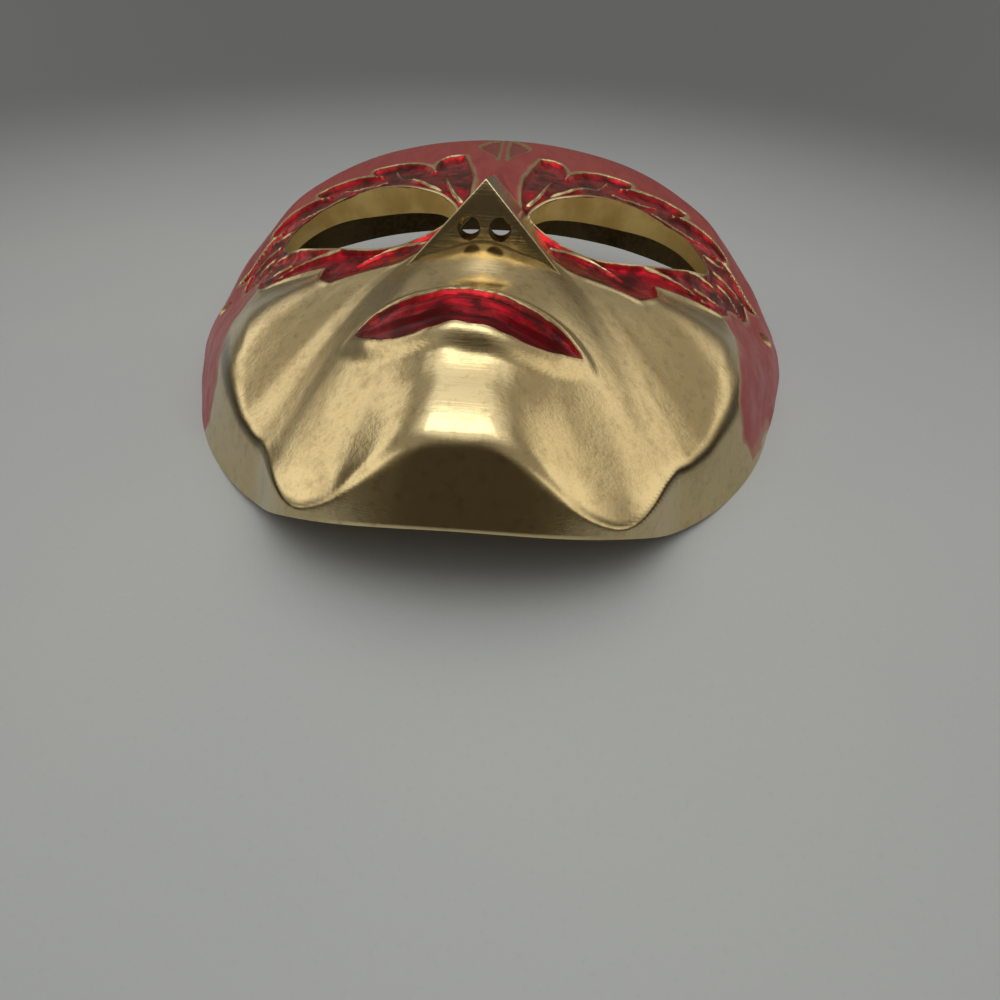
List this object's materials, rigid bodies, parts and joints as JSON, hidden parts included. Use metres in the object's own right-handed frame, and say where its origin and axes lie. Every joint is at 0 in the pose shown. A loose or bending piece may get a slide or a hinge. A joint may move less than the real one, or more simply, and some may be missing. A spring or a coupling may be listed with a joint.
{
  "type": "brass mask",
  "caption": "Cast brass carnival face mask with a pyramid nose, open eyes, sunk leaf ornament and red lacquer, hollow behind, to hang or wear by ties.",
  "frame": {"origin": "middle of the mask's outline in plan, in the plane that its two side rims rest on", "axes": "+X across the face, +Y from the chin to the forehead, +Z out of the face"},
  "size_m": [0.1622, 0.1553, 0.0556],
  "materials": {
    "brass": "polished with fine brush scratches; pink enamel on the forehead, red lacquer in the leaves and lips"
  },
  "bodies": {
    "root": {"brass_mask": "brass"}
  },
  "joints": []
}
